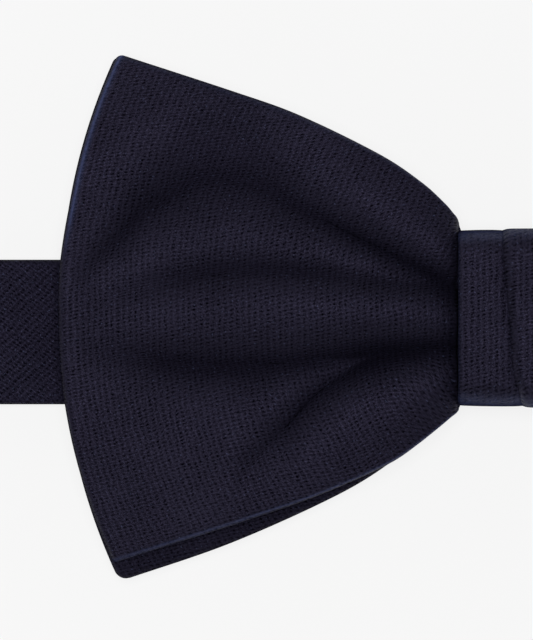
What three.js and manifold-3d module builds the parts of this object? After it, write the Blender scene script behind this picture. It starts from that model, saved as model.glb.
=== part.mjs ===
// A pre-tied bow tie with an adjustable neckband, lying face up on a table.
//
// Millimetres. +X runs along the neckband, +Y up the bow, +Z out of its face.
// The neckband leaves both sides of the knot, turns under at each end and comes back
// along the table. The left strap ends in a metal eye; the right strap runs through a
// three-bar slider, turns round the frame of a hook and comes back to the slider.
// The origin is under the middle of the whole object, on the table.

import * as THREE from "three";
import { mergeVertices } from "three/addons/utils/BufferGeometryUtils.js";
import Module from "manifold-3d";

// ---------------------------------------------------------------- driving dimensions

const BAND_WIDTH = 18; // the neckband, pressed flat
const BAND_THICK = 1.2;
const BAND_WALL = 0.3; // cloth of the neckband tube
const BAND_SHIFT = -1.74; // the neckband hangs a little below the middle of the knot
const FOLD_X = 115; // where the neckband turns under, from the middle of the knot
const FOLD_R = 1.1; // radius of that turn, at the middle of the cloth

const KNOT_HALF_X = 11.25;
const KNOT_HALF_Y = 10.8;
const KNOT_BOTTOM = 1.9;
const KNOT_TOP = 15.1;
const KNOT_WALL = 1.1;
const KNOT_CORNER = 3.4;

const WAIST_HALF = 7.7; // the bow, gathered inside the knot
const WAIST_X = 11.35; // where it leaves the knot
const WING_X = 11.6; // where the wing starts
const PANEL_THICK = 1.6;
const PANEL_WALL = 0.4; // cloth of a panel; the interlining lies inside
const END_BULGE = 6.9; // the outer end bows out by this much
const END_POWER = 2.15;

const LAYER_GAP = 0.15;
const LINING_THICK = 0.3;

const WIRE_R = 0.65; // steel wire of the eye, hook and slider
const FRAME_HALF_Y = BAND_WIDTH / 2 + 1.3; // their middle line, outside the band
const LOOP_R = 1.5; // radius of the strap round a wire, at the middle of the cloth
const STRAP_Z = BAND_THICK / 2; // a strap lying on the table
const HARDWARE_Z = STRAP_Z + LOOP_R;
const EYE_X = 25; // the eye's wire inside the left strap
const EYE_LENGTH = 9.6;
const HOOK_X = 48.6; // the hook's wire inside the right strap
const HOOK_FRAME_LENGTH = 5;
const SLIDER_X = 70.2; // the slider's middle bar
const SLIDER_PITCH = 6.8; // from one bar of the slider to the next
const SLIDER_Z = 3.3;

// Outlines of one wing, as (distance from the middle, height), from the knot outwards.
const TOP_EDGE = outline([
  [WING_X, 11.4], [13.5, 14.5], [18.4, 18.5], [25.7, 22.6], [39.2, 27.9], [52.9, 32.2],
]);
const FRONT_BOTTOM_EDGE = outline([
  [WING_X, -11.2], [15.9, -15.2], [20.2, -18.1], [26.9, -21.1], [39.2, -25.6], [53.4, -30.1],
]);
const BACK_TOP_EDGE = outline([
  [WING_X, 10.9], [18.4, 17.7], [25.7, 21.7], [39.2, 27.0], [53.0, 31.2],
]);
const BACK_BOTTOM_EDGE = outline([
  [WING_X, -11.1], [18.4, -17.1], [25.7, -21.7], [39.2, -27.8], [52.4, -31.9],
]);

// Height of the bow's face along the middle of a wing, and of the back's underside.
const FACE_HEIGHT = [[0, 12.4], [0.2, 14.4], [0.45, 15.4], [0.7, 14.6], [0.88, 13], [1, 12.1]];
const BACK_HEIGHT = [[0, 5.85], [0.3, 6], [0.7, 6.6], [0.9, 7.6], [1, 8.25]];
const FACE_CROWN = [[0, 1.6], [0.3, 4.2], [0.7, 3.5], [1, 2.6]];
const BACK_CROWN = [[0, 0], [0.3, 0.6], [0.7, 1.6], [1, 2.6]];

// Valleys between the pleats: path is (u, v), depth and width are (u, millimetres).
const VALLEYS = [
  {
    path: [[0, 0.3], [0.12, 0.4], [0.3, 0.5], [0.5, 0.59]],
    depth: [[0, 2.8], [0.3, 2], [0.6, 0]],
    width: 2.2,
  },
  {
    path: [[0.3, 0.56], [0.6, 0.54], [0.95, 0.3]],
    depth: [[0.25, 0], [0.6, 1.3], [0.97, 0]],
    width: 5.5,
  },
  {
    path: [[0, 0.3], [0.2, 0.24], [0.6, 0.2], [0.85, 0.12]],
    depth: [[0, 0], [0.4, 1], [0.85, 0]],
    width: 2,
  },
  {
    path: [[0, -0.33], [0.3, -0.25], [0.7, -0.22], [0.95, -0.14]],
    depth: [[0, 2.8], [0.5, 2.2], [0.97, 0]],
    width: 2.6,
  },
  {
    path: [[0.05, -0.33], [0.2, -0.34], [0.5, -0.58]],
    depth: [[0.05, 0], [0.15, 2.4], [0.6, 0]],
    width: 2.2,
  },
];

const WAIST_STEPS = 2;
const WING_STEPS = 11;
const CROSS_STEPS = 14;
const EDGE_MARGIN = 2; // the even steps across a panel start this far from its edge

// ---------------------------------------------------------------- small helpers

function outline(points) {
  return new THREE.SplineCurve(points.map(([x, y]) => new THREE.Vector2(x, y)));
}

// Straight-line interpolation in a list of (position, value) pairs.
function along(table, t) {
  if (t <= table[0][0]) return table[0][1];
  for (let i = 1; i < table.length; i++) {
    const [t0, a] = table[i - 1];
    const [t1, b] = table[i];
    if (t <= t1) return a + ((b - a) * (t - t0)) / (t1 - t0);
  }
  return table.at(-1)[1];
}

const smooth = (t) => t * t * (3 - 2 * t);

// A closed solid through a row of rings of points. Each ring lists its upper points and
// then its lower ones backwards. With holes it is a tube, open at both ends.
function loft(rings, holes = null) {
  const count = rings[0].length;
  const positions = [];
  const index = [];
  const store = (list) => {
    const first = positions.length / 3;
    list.forEach((ring) => ring.forEach((p) => positions.push(p.x, p.y, p.z)));
    return first;
  };
  const quad = (a, b, c, d) => index.push(a, b, c, a, c, d);
  const walls = (first, inward) => {
    for (let s = 0; s + 1 < rings.length; s++) {
      for (let i = 0; i < count; i++) {
        const a = first + s * count + i;
        const b = first + s * count + ((i + 1) % count);
        if (inward) quad(a, b, b + count, a + count);
        else quad(a, a + count, b + count, b);
      }
    }
  };
  const outer = store(rings);
  walls(outer, false);
  const last = (rings.length - 1) * count;
  if (holes) {
    const inner = store(holes);
    walls(inner, true);
    for (let i = 0; i < count; i++) {
      const j = (i + 1) % count;
      quad(outer + i, outer + j, inner + j, inner + i);
      quad(outer + last + j, outer + last + i, inner + last + i, inner + last + j);
    }
  } else {
    for (let i = 0; i < count / 2 - 1; i++) {
      const j = count - 1 - i;
      quad(outer + i, outer + i + 1, outer + j - 1, outer + j);
      quad(outer + last + j, outer + last + j - 1, outer + last + i + 1, outer + last + i);
    }
  }
  const geometry = new THREE.BufferGeometry();
  geometry.setAttribute("position", new THREE.Float32BufferAttribute(positions, 3));
  geometry.setIndex(index);
  geometry.computeVertexNormals();
  return geometry;
}

const wasm = await Module();
wasm.setup();

function toSolid(geometry) {
  const bare = geometry.clone();
  bare.deleteAttribute("normal");
  bare.deleteAttribute("uv");
  const merged = mergeVertices(bare, 1e-4);
  return new wasm.Manifold(
    new wasm.Mesh({
      numProp: 3,
      vertProperties: new Float32Array(merged.attributes.position.array),
      triVerts: new Uint32Array(merged.index.array),
    }),
  );
}

function fromSolid(solid) {
  const mesh = solid.getMesh();
  const geometry = new THREE.BufferGeometry();
  geometry.setAttribute("position", new THREE.BufferAttribute(mesh.vertProperties, 3));
  geometry.setIndex(new THREE.BufferAttribute(mesh.triVerts, 1));
  geometry.computeVertexNormals();
  return geometry;
}

const join = (...geometries) => fromSolid(geometries.map(toSolid).reduce((a, b) => a.add(b)));

// ---------------------------------------------------------------- materials

const finish = (color, roughness, metalness = 0) =>
  new THREE.MeshStandardMaterial({ color, roughness, metalness });
const bowCloth = finish(0x1d1b2c, 0.9);
const bandCloth = finish(0x1a1828, 0.9);
const interlining = finish(0xd9d6cc, 0.95);
const thread = finish(0x1f2036, 0.8);
const steel = finish(0xc9c9cc, 0.25, 1);

const tie = new THREE.Group();

function addPiece(name, geometry, material, position = [0, 0, 0]) {
  const mesh = new THREE.Mesh(geometry, material);
  mesh.name = name;
  mesh.position.set(...position);
  tie.add(mesh);
  return mesh;
}

// ---------------------------------------------------------------- the bow

// Depth of the valleys at a place on the wing whose half height there is reach.
function pleats(u, v, reach) {
  let depth = 0;
  for (const valley of VALLEYS) {
    const away = ((v - along(valley.path, u)) * reach) / valley.width;
    depth += along(valley.depth, u) * Math.exp(-away * away);
  }
  return depth;
}

// One station across the bow: side is -1 or 1, step counts outwards from the middle.
// It returns a function of v, from -1 at the bottom edge to 1 at the top.
function station(side, step, topEdge, bottomEdge, middle) {
  if (step <= WAIST_STEPS) {
    const x = middle + ((WAIST_X - middle) * step) / WAIST_STEPS;
    return { u: 0, reach: WAIST_HALF, at: (v) => [side * x, v * WAIST_HALF] };
  }
  const u = (step - WAIST_STEPS - 1) / (WING_STEPS - 1);
  const top = topEdge.getPointAt(u);
  const bottom = bottomEdge.getPointAt(u);
  const bulge = END_BULGE * smooth(Math.min(1, u / 0.5));
  return {
    u,
    reach: (top.y - bottom.y) / 2,
    at: (v) => {
      const w = (v + 1) / 2;
      const out = bulge * (1 - Math.abs(v) ** END_POWER);
      return [side * (bottom.x + (top.x - bottom.x) * w + out), bottom.y + (top.y - bottom.y) * w];
    },
  };
}

const faceHeight = (u, v, reach) =>
  along(FACE_HEIGHT, u) - along(FACE_CROWN, u) * v * v - pleats(u, v, reach);
const backHeight = (u, v) => along(BACK_HEIGHT, u) + PANEL_THICK - along(BACK_CROWN, u) * v * v;

// Rings of a panel between two depths below its face, drawn in by margin at its long edges.
function panelRings(stations, height, margin, from, to) {
  return stations.map(({ u, reach, at }) => {
    const edge = 1 - margin / reach;
    const inner = 1 - EDGE_MARGIN / reach;
    const places = [-edge];
    for (let i = 0; i <= CROSS_STEPS; i++) places.push(inner * ((2 * i) / CROSS_STEPS - 1));
    places.push(edge);
    const layer = (drop) =>
      places.map((v) => new THREE.Vector3(...at(v), height(u, v, reach) - drop));
    return [...layer(from), ...layer(to).reverse()];
  });
}

function stationsOf(side, topEdge, bottomEdge, middle) {
  const steps = WAIST_STEPS + WING_STEPS + 1;
  return Array.from({ length: steps }, (_, i) => station(side, i, topEdge, bottomEdge, middle));
}

function panelTube(stations, height) {
  return loft(
    panelRings(stations, height, 0, 0, PANEL_THICK),
    panelRings(stations, height, 1, PANEL_WALL, PANEL_THICK - PANEL_WALL),
  );
}

const LINING_FROM = (PANEL_THICK - LINING_THICK) / 2;
const panelLining = (stations, height) =>
  loft(panelRings(stations, height, 1.6, LINING_FROM, LINING_FROM + LINING_THICK));

function buildBow() {
  const left = stationsOf(-1, TOP_EDGE, FRONT_BOTTOM_EDGE, 0).reverse();
  const right = stationsOf(1, TOP_EDGE, FRONT_BOTTOM_EDGE, 0).slice(1);
  const front = [...left, ...right];
  addPiece("bow_front_panel", panelTube(front, faceHeight), bowCloth);
  addPiece("bow_front_interlining", panelLining(front, faceHeight), interlining);
  for (const [name, side] of [["left", -1], ["right", 1]]) {
    let back = stationsOf(side, BACK_TOP_EDGE, BACK_BOTTOM_EDGE, LAYER_GAP);
    if (side < 0) back = back.reverse();
    addPiece(`bow_back_panel_${name}`, panelTube(back, backHeight), bowCloth);
    addPiece(`bow_back_interlining_${name}`, panelLining(back, backHeight), interlining);
  }
}

// ---------------------------------------------------------------- the knot

// A band of cloth round the waist: a rounded ring in Y and Z, halfX wide each way.
function ring(halfY, bottom, top, corner, wall, halfX) {
  const rounded = (inset, path) => {
    const y = halfY - inset;
    const low = bottom + inset;
    const high = top - inset;
    const r = Math.max(0.3, corner - inset);
    path.moveTo(-y + r, low);
    path.lineTo(y - r, low);
    path.absarc(y - r, low + r, r, -Math.PI / 2, 0);
    path.absarc(y - r, high - r, r, 0, Math.PI / 2);
    path.absarc(-y + r, high - r, r, Math.PI / 2, Math.PI);
    path.absarc(-y + r, low + r, r, Math.PI, 1.5 * Math.PI);
    return path;
  };
  const shape = rounded(0, new THREE.Shape());
  shape.holes.push(rounded(wall, new THREE.Path()));
  const geometry = new THREE.ExtrudeGeometry(shape, {
    depth: 2 * halfX,
    bevelEnabled: false,
    curveSegments: 6,
  });
  // The shape's own X and Y become the tie's Y and Z, and it is extruded along X.
  geometry.applyMatrix4(new THREE.Matrix4().makeBasis(
    new THREE.Vector3(0, 1, 0),
    new THREE.Vector3(0, 0, 1),
    new THREE.Vector3(1, 0, 0),
  ));
  geometry.translate(-halfX, 0, 0);
  return geometry;
}

const KNOT_LINING_INSET = KNOT_WALL + LAYER_GAP;
const KNOT_LINING_WALL = 0.45;
const BINDING_HALF_X = 3;
const BINDING_HALF_Y = 8.6;
const BINDING_BOTTOM = 5.15;
const BINDING_TOP = 13;
const BINDING_CORNER = 1.3;
const SEAM_WIDTH = 0.5;

function buildKnot() {
  addPiece(
    "knot_wrap",
    ring(KNOT_HALF_Y, KNOT_BOTTOM, KNOT_TOP, KNOT_CORNER, KNOT_WALL, KNOT_HALF_X),
    bowCloth,
  );
  addPiece(
    "knot_interlining",
    ring(
      KNOT_HALF_Y - KNOT_LINING_INSET,
      KNOT_BOTTOM + KNOT_LINING_INSET,
      KNOT_TOP - KNOT_LINING_INSET,
      KNOT_CORNER - KNOT_LINING_INSET,
      KNOT_LINING_WALL,
      KNOT_HALF_X - 0.8,
    ),
    interlining,
  );
  addPiece(
    "waist_binding",
    ring(BINDING_HALF_Y, BINDING_BOTTOM, BINDING_TOP, BINDING_CORNER, 0.4, BINDING_HALF_X),
    thread,
  );
  addPiece(
    "knot_closing_stitch",
    new THREE.BoxGeometry(2 * KNOT_HALF_X - 2, SEAM_WIDTH, 0.3),
    thread,
    [0, 1.5, KNOT_BOTTOM - 0.25],
  );
}

// ---------------------------------------------------------------- the neckband

// A strap along a path in X and Z. options.width(x) is its width, options.shift(x) its
// middle in Y. It is a tube of cloth, or a solid strip when wall is 0.
function strap(path, { thick = BAND_THICK, wall = 0, width, shift }) {
  const rings = (inset) =>
    path.map(([x, z], i) => {
      const [xa, za] = path[Math.max(0, i - 1)];
      const [xb, zb] = path[Math.min(path.length - 1, i + 1)];
      const length = Math.hypot(xb - xa, zb - za);
      const nx = -(zb - za) / length;
      const nz = (xb - xa) / length;
      const half = width(x) / 2 - inset;
      const up = thick / 2 - inset;
      const corner = (sy, sz) =>
        new THREE.Vector3(x + sz * up * nx, shift(x) + sy * half, z + sz * up * nz);
      return [corner(-1, 1), corner(1, 1), corner(1, -1), corner(-1, -1)];
    });
  return loft(rings(0), wall ? rings(wall) : null);
}

// Half a turn round (x, z), leaving upwards or downwards, bulging towards side.
function turn(x, z, radius, side, upwards, steps = 8) {
  return Array.from({ length: steps + 1 }, (_, i) => {
    const angle = ((i / steps) * 2 - 1) * (Math.PI / 2) * (upwards ? 1 : -1);
    return [x + side * radius * Math.cos(angle), z + radius * Math.sin(angle)];
  });
}

const FRONT_RUN_END_Z = STRAP_Z + 2 * FOLD_R;
const FOLD_Z = STRAP_Z + FOLD_R;
const STRAP_END_GAP = 0.3;

// The run behind the bow rides over the hardware that lies under the right wing.
const FRONT_RUN = [
  [-FOLD_X + STRAP_END_GAP, FRONT_RUN_END_Z], [-60, 2.8], [-40, 3.1], [-22, 3.9], [-13, 4.35],
  [0, 4.35], [11.6, 4.4], [14.5, 5.05], [32, 5.1], [50, 5.15], [56, 5.9], [62, 7.4], [66, 7.65],
  [90, 7.65], [95, 6.9], [103, 4.7], [109, FRONT_RUN_END_Z + 0.3],
  [FOLD_X - STRAP_END_GAP, FRONT_RUN_END_Z],
];
const frontWidth = (x) =>
  BAND_WIDTH - 2.2 * (1 - smooth(Math.min(1, Math.max(0, (Math.abs(x) - 12) / 10))));
const frontShift = (x) => BAND_SHIFT * smooth(Math.min(1, Math.max(0, (Math.abs(x) - 12) / 28)));
const fullWidth = () => BAND_WIDTH;
const fullShift = () => BAND_SHIFT;

const bandTube = { wall: BAND_WALL, width: fullWidth, shift: fullShift };
const bandLining = {
  thick: BAND_THICK - 2 * BAND_WALL - 0.2,
  width: () => BAND_WIDTH - 2,
  shift: fullShift,
};

const TAIL_LENGTH = 12; // the strap's end, turned back over itself at the eye

function buildFrontRun() {
  addPiece(
    "neckband_front_run",
    strap(FRONT_RUN, { wall: BAND_WALL, width: frontWidth, shift: frontShift }),
    bandCloth,
  );
  addPiece(
    "neckband_front_interlining",
    strap(FRONT_RUN, { ...bandLining, width: (x) => frontWidth(x) - 2, shift: frontShift }),
    interlining,
  );
  for (const [name, side] of [["left", -1], ["right", 1]]) {
    addPiece(
      `neckband_turn_${name}`,
      strap(turn(side * FOLD_X, FOLD_Z, FOLD_R, side, true), { width: fullWidth, shift: fullShift }),
      bandCloth,
    );
  }
}

function buildLeftStrap() {
  const run = [
    [-FOLD_X + STRAP_END_GAP, STRAP_Z], [-60, STRAP_Z], [EYE_X - 6, STRAP_Z],
    ...turn(EYE_X + 0.1, HARDWARE_Z, LOOP_R, 1, true),
    [EYE_X - 2.5, STRAP_Z + 2.6], [EYE_X - 5, STRAP_Z + BAND_THICK + 0.3],
    [EYE_X - 8, STRAP_Z + BAND_THICK + LAYER_GAP],
    [EYE_X - TAIL_LENGTH, STRAP_Z + BAND_THICK + LAYER_GAP],
  ];
  addPiece("neckband_left_strap", strap(run, bandTube), bandCloth);
  addPiece(
    "neckband_left_interlining",
    strap([[-FOLD_X + 0.4, STRAP_Z], [-60, STRAP_Z], [EYE_X - 7, STRAP_Z]], bandLining),
    interlining,
  );
  addPiece(
    "eye_bartack",
    new THREE.BoxGeometry(1.6, BAND_WIDTH - 3, 0.3),
    thread,
    [EYE_X - 8.5, BAND_SHIFT, 2 * BAND_THICK + 2 * LAYER_GAP + 0.15],
  );
}

const SLIDER_LEFT = SLIDER_X - SLIDER_PITCH;
const STRAP_JOIN_X = SLIDER_X + 11; // the plain strap ends here, clear of the slider
const UNDER_BAR_Z = SLIDER_Z - WIRE_R - LAYER_GAP - BAND_THICK / 2;
const BAR_LOOP_R = 1.4; // the strap's sewn end round the slider's middle bar
const OVER_LOOP_R = BAR_LOOP_R + BAND_THICK + LAYER_GAP;

function buildRightStrap() {
  addPiece(
    "neckband_right_strap",
    strap([[STRAP_JOIN_X, STRAP_Z], [95, STRAP_Z], [FOLD_X - STRAP_END_GAP, STRAP_Z]], bandTube),
    bandCloth,
  );
  addPiece(
    "neckband_right_interlining",
    strap([[STRAP_JOIN_X + 0.3, STRAP_Z], [95, STRAP_Z], [FOLD_X - 0.4, STRAP_Z]], bandLining),
    interlining,
  );
  // Through the slider: under one outer bar, over the middle bar, under the other.
  const over = turn(SLIDER_X, SLIDER_Z, OVER_LOOP_R, 1, true).slice(4);
  addPiece(
    "adjuster_strap",
    strap(
      [
        [STRAP_JOIN_X - 0.3, STRAP_Z + 0.02], [SLIDER_X + 8.6, 1.2],
        [SLIDER_X + SLIDER_PITCH, UNDER_BAR_Z], [SLIDER_X + 4.6, UNDER_BAR_Z + 0.2],
        ...over,
        [SLIDER_X - 1.7, SLIDER_Z + 2.65], [SLIDER_X - 3.2, SLIDER_Z + 1.6],
        [SLIDER_X - 4.2, SLIDER_Z + 0.1], [SLIDER_X - 5.3, UNDER_BAR_Z + 0.15],
        [SLIDER_LEFT, UNDER_BAR_Z], [HOOK_X + 9, UNDER_BAR_Z + 0.1],
        [HOOK_X + 4, 3.2], [HOOK_X + 0.3, HARDWARE_Z + LOOP_R],
      ],
      { width: fullWidth, shift: fullShift },
    ),
    bandCloth,
  );
  addPiece(
    "adjuster_turn",
    strap(turn(HOOK_X, HARDWARE_Z, LOOP_R, -1, false), { width: fullWidth, shift: fullShift }),
    bandCloth,
  );
  addPiece(
    "adjuster_return",
    strap(
      [
        [HOOK_X + 0.3, STRAP_Z], [SLIDER_LEFT - 2, STRAP_Z], [SLIDER_LEFT + 1.4, STRAP_Z + 0.02],
        [SLIDER_X - 3.6, STRAP_Z + 0.5], [SLIDER_X - 1.6, SLIDER_Z - BAR_LOOP_R - 0.08],
        ...turn(SLIDER_X, SLIDER_Z, BAR_LOOP_R, 1, true),
        [SLIDER_X - 1.2, SLIDER_Z + BAR_LOOP_R - 0.15],
      ],
      { width: fullWidth, shift: fullShift },
    ),
    bandCloth,
  );
}

// ---------------------------------------------------------------- steel fittings

// A closed rectangle of round wire in the XY plane, between x0 and x1.
function wireFrame(x0, x1, z, halfY = FRAME_HALF_Y, radius = WIRE_R) {
  const corner = 1.2;
  const middle = [];
  const corners = [
    [x1 - corner, halfY - corner, 0], [x0 + corner, halfY - corner, 1],
    [x0 + corner, -halfY + corner, 2], [x1 - corner, -halfY + corner, 3],
  ];
  for (const [cx, cy, quarter] of corners) {
    for (let i = 0; i <= 3; i++) {
      const angle = (quarter + i / 3) * (Math.PI / 2);
      middle.push([cx + corner * Math.cos(angle), cy + corner * Math.sin(angle), angle]);
    }
  }
  const sides = 8;
  const positions = [];
  const index = [];
  middle.forEach(([x, y, angle]) => {
    for (let k = 0; k < sides; k++) {
      const a = ((k + 0.5) / sides) * 2 * Math.PI;
      const out = radius * Math.cos(a);
      positions.push(
        x + out * Math.cos(angle),
        BAND_SHIFT + y + out * Math.sin(angle),
        z + radius * Math.sin(a),
      );
    }
  });
  const count = middle.length;
  for (let s = 0; s < count; s++) {
    for (let k = 0; k < sides; k++) {
      const a = s * sides + k;
      const b = s * sides + ((k + 1) % sides);
      const c = ((s + 1) % count) * sides + ((k + 1) % sides);
      const d = ((s + 1) % count) * sides + k;
      index.push(a, d, c, a, c, b);
    }
  }
  const geometry = new THREE.BufferGeometry();
  geometry.setAttribute("position", new THREE.Float32BufferAttribute(positions, 3));
  geometry.setIndex(index);
  geometry.computeVertexNormals();
  return geometry;
}

const HOOK_TONGUE_WIDTH = 9;
const HOOK_SHEET = 1;
const HOOK_REACH = 10; // from the hook's wire to the bend of its tongue
const HOOK_BEND_R = 1.1;

function buildFittings() {
  addPiece("eye", wireFrame(EYE_X, EYE_X + EYE_LENGTH, HARDWARE_Z), steel);

  const bend = HOOK_X - HOOK_REACH;
  const frameLeft = HOOK_X - HOOK_FRAME_LENGTH;
  const tongue = strap(
    [
      [frameLeft + 0.2, HARDWARE_Z], [frameLeft - 0.8, HARDWARE_Z + 0.25],
      [frameLeft - 2, HARDWARE_Z + HOOK_BEND_R], [bend + 0.8, HARDWARE_Z + HOOK_BEND_R],
      ...turn(bend, HARDWARE_Z, HOOK_BEND_R, -1, false),
      [bend + 2, HARDWARE_Z - HOOK_BEND_R], [bend + 3, HARDWARE_Z - HOOK_BEND_R + 0.15],
    ],
    { thick: HOOK_SHEET, width: () => HOOK_TONGUE_WIDTH, shift: fullShift },
  );
  addPiece("hook", join(wireFrame(frameLeft, HOOK_X, HARDWARE_Z), tongue), steel);

  const middleBar = new THREE.CylinderGeometry(WIRE_R, WIRE_R, 2 * FRAME_HALF_Y, 8);
  middleBar.translate(SLIDER_X, BAND_SHIFT, SLIDER_Z);
  addPiece(
    "slider",
    join(wireFrame(SLIDER_LEFT, SLIDER_X + SLIDER_PITCH, SLIDER_Z), middleBar),
    steel,
  );
}

buildBow();
buildKnot();
buildFrontRun();
buildLeftStrap();
buildRightStrap();
buildFittings();

// Put the origin under the middle of the whole object.
const box = new THREE.Box3().setFromObject(tie, true);
tie.position.set(-(box.min.x + box.max.x) / 2, -(box.min.y + box.max.y) / 2, -box.min.z);

export default tie;
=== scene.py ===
"""A dark navy pre-tied bow tie lying face up on a pale table.

Lengths are in millimetres until a mesh is made, and heights are above the table. A piece
of cloth is a grid of middle points with a thickness, so that every edge is a rolled one.
"""

import math

import bpy
import numpy as np
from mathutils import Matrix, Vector


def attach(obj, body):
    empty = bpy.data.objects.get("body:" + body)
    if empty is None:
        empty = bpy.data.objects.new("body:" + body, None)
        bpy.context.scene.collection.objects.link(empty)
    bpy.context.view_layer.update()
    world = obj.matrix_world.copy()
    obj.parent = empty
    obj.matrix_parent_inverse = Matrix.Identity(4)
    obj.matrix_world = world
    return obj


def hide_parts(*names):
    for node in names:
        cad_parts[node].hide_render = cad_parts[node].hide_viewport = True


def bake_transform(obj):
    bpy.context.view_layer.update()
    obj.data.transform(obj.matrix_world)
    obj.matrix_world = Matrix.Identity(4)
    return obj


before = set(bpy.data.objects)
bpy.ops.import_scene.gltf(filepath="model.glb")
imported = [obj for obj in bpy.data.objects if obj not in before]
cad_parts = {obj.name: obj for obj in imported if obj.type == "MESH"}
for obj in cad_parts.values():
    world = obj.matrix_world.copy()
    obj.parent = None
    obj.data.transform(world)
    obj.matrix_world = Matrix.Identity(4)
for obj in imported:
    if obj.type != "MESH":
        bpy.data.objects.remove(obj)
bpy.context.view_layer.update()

# ---------------------------------------------------------------- sizes

MM = 0.001
SHIFT_Y = -0.15  # the origin is under the middle of the whole object

BAND_HALF = 9.0
BAND_THICK = 1.2
BAND_SHIFT = -1.74
FOLD_X = 115.0
FOLD_R = 1.1
FOLD_END = FOLD_X - 0.3

KNOT_HALF_X = 11.25
KNOT_HALF_Y = 10.8
KNOT_BOTTOM = 1.9
KNOT_TOP = 15.1
KNOT_THICK = 1.1
KNOT_SWELL = 0.5
PANEL_THICK = 1.6
LINING_THICK = 0.3

WIRE_R = 0.65
FRAME_HALF_Y = 10.3
LOOP_R = 1.5
STRAP_Z = BAND_THICK / 2
HARDWARE_Z = STRAP_Z + LOOP_R
EYE_X = 25.0
EYE_LENGTH = 9.6
HOOK_X = 48.6
HOOK_FRAME = 5.0
HOOK_REACH = 10.0
SLIDER_X = 70.2
SLIDER_PITCH = 6.8
SLIDER_Z = 3.3
UNDER_BAR_Z = SLIDER_Z - WIRE_R - 0.15 - BAND_THICK / 2
BAR_LOOP_R = 1.4
OVER_LOOP_R = BAR_LOOP_R + BAND_THICK + 0.15

COLUMN = 0.74  # the twill's spacing across its ribs, and along them
ROW = 0.45

# Outlines of a wing, as (distance from the middle, height): from the waist to the corner.
WAIST = [(0, 7.6), (6, 7.7), (9.4, 8.5), (11.1, 10.6)]
TOP_EDGE = WAIST + [(12.2, 12.9), (13.5, 14.5), (15.9, 16.7), (20.8, 20.0), (30.6, 24.8),
                    (39.2, 27.9), (53.4, 32.5)]
FRONT_BOTTOM = WAIST + [(12.4, 12.2), (16.3, 15.5), (20.2, 18.1), (28.5, 21.8),
                        (37.6, 25.0), (53.4, 30.1)]
BACK_BOTTOM = WAIST + [(13.5, 13.1), (18.4, 17.2), (25.7, 21.8), (39.2, 27.9), (52.9, 32.6)]
WING_LONG = 65.0  # cloth along a wing, and across it
WING_TALL = 50.0
END_BULGE = 6.9
END_POWER = 2.15
FRONT_PULL = 0.45  # the back shows past the front along the upper part of its outer end

# Height of a wing's middle layer along it, by distance from the middle of the knot.
FRONT_HEIGHT = [(0, 11.4), (10.6, 11.4), (12.2, 12.5), (15, 13.4), (20, 14.1), (30, 14.2),
                (38, 13.6), (48, 12.3), (55, 11.6), (60, 11.5)]
FRONT_CROWN = [(0, 1.4), (11, 1.6), (20, 2.2), (32, 2.0), (45, 1.6), (60, 1.3)]
BACK_HEIGHT = [(0, 6.65), (11, 6.65), (30, 6.9), (45, 7.6), (60, 9.05)]
BACK_CROWN = [(0, 0), (25, 0.6), (45, 1.6), (60, 2.6)]

# Valleys between the pleats: where each runs, how deep and how wide it is, by distance from
# the middle of the knot.
VALLEYS = [
    dict(path=[(10, 2.9), (18.4, 7.4), (24.5, 10.4), (30.6, 13.6), (36.7, 16.6), (42.9, 17.0),
               (49, 13.8), (52.6, 10.4), (57, 5.5)],
         depth=[(10, 2.9), (18, 2.9), (26, 2.8), (38, 2.8), (46, 2.8), (53, 1.8), (59, 0)],
         width=[(10, 1.4), (18, 1.9), (25, 2.4), (34, 4.2), (41, 6.0), (48, 4.2), (57, 2.5)]),
    dict(path=[(10, 2.9), (20.8, 4.4), (30.6, 5.5), (39.2, 5.8), (46, 4.8), (54, 2.6)],
         depth=[(10, 0), (14, 0.9), (22, 1.7), (30, 2.1), (40, 2.1), (50, 1.2), (57, 0)],
         width=[(10, 0.9), (26, 1.8), (50, 2.2)]),
    dict(path=[(10, -3.5), (18.4, -3.9), (24.5, -4.6), (30.6, -5.2), (36.7, -5.8), (44, -5.8),
               (56, -4)],
         depth=[(10, 2.9), (20, 3.3), (30, 3.6), (38, 3.6), (46, 3.0), (52, 1.7), (58, 0)],
         width=[(10, 1.4), (20, 2.2), (34, 3.0), (46, 3.0), (57, 3)]),
    dict(path=[(13, -3.6), (20.8, -5.0), (25.7, -7.5), (29.4, -10.2), (32.6, -13.6), (38, -19)],
         depth=[(13, 0), (18, 1.6), (24, 2.3), (30, 2.3), (34, 1.5), (39, 0)],
         width=[(13, 1.0), (24, 1.9), (36, 3.2)]),
]
VALLEY_ROUNDING = 0.85
# Painted shade: the sheen is lowered in the bottom of a valley too, fully where it is this deep.
DEEPEST = 3.0
SHADED_HALF = 1.6

# Where the front's sheen is lowered as painted shade in the broad hollow above the middle pleats: its
# middle line and its half height.
HOLLOW_LINE = [(28, 13.2), (36.7, 18.3), (42.9, 19.2), (49, 15.8), (54, 9.5)]
HOLLOW_HALF = [(28, 3.0), (36.7, 7.2), (42.9, 7.6), (49, 4.8), (54, 2.8)]

# ---------------------------------------------------------------- curves and grids


def smooth_curve(points, places):
    """Points at shares of the length of a smooth curve that passes through the points."""
    p = np.array(points, float)
    ends = np.vstack([2 * p[0] - p[1], p, 2 * p[-1] - p[-2]])
    t = np.linspace(0, 1, 24, endpoint=False)[:, None]
    fine = []
    for a, b, c, d in zip(ends[:-3], ends[1:-2], ends[2:-1], ends[3:]):
        square = (2 * a - 5 * b + 4 * c - d) * t**2
        cube = (3 * b - a - 3 * c + d) * t**3
        fine.append(0.5 * (2 * b + (c - a) * t + square + cube))
    fine = np.vstack([*fine, p[-1:]])
    gone = lengths(fine)
    return np.stack([np.interp(np.asarray(places) * gone[-1], gone, c) for c in fine.T], -1)


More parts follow.
